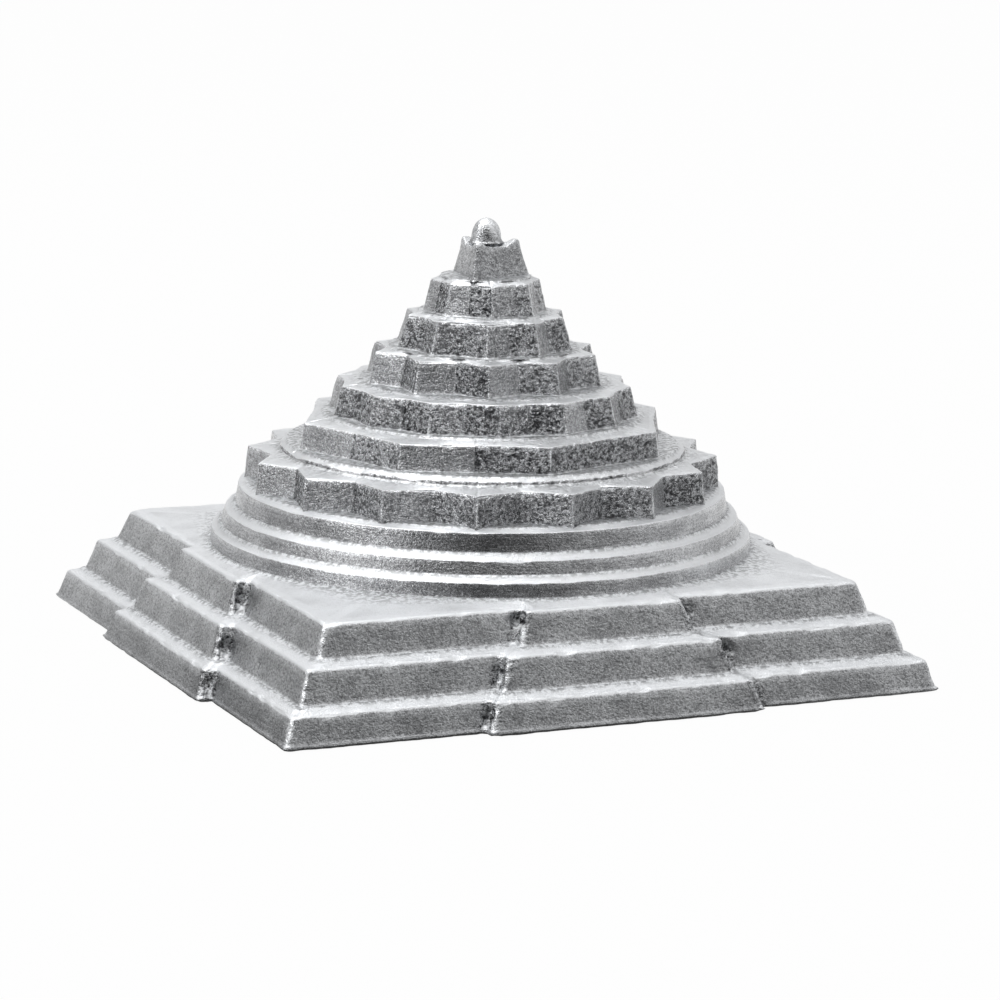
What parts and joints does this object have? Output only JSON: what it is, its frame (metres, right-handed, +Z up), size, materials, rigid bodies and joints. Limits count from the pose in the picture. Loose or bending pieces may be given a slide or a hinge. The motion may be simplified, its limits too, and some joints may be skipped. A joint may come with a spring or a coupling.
{
  "type": "shri yantra",
  "caption": "Raised meru-form shri yantra in silver-coloured cast metal: stepped square base with gate blocks, round girdles and pointed tiers narrowing to a small dome.",
  "frame": {"origin": "middle of the flat underside of the lower step", "axes": "+Z up through the dome, X and Y square to the sides of the base, -Y towards the near long face in the picture"},
  "size_m": [0.0792, 0.0792, 0.0484],
  "materials": {
    "cast_metal": "satin, as cast and brushed"
  },
  "bodies": {
    "root": {"bhupura_lower_step": "cast_metal", "bhupura_middle_step": "cast_metal", "bhupura_upper_step": "cast_metal", "girdle_lower": "cast_metal", "girdle_middle": "cast_metal", "girdle_upper": "cast_metal", "sixteen_point_tier": "cast_metal", "eight_point_lower_tier": "cast_metal", "fourteen_point_tier": "cast_metal", "ten_point_outer_tier": "cast_metal", "ten_point_inner_tier": "cast_metal", "eight_point_upper_tier": "cast_metal", "triangle_tier": "cast_metal", "bindu": "cast_metal"}
  },
  "joints": []
}
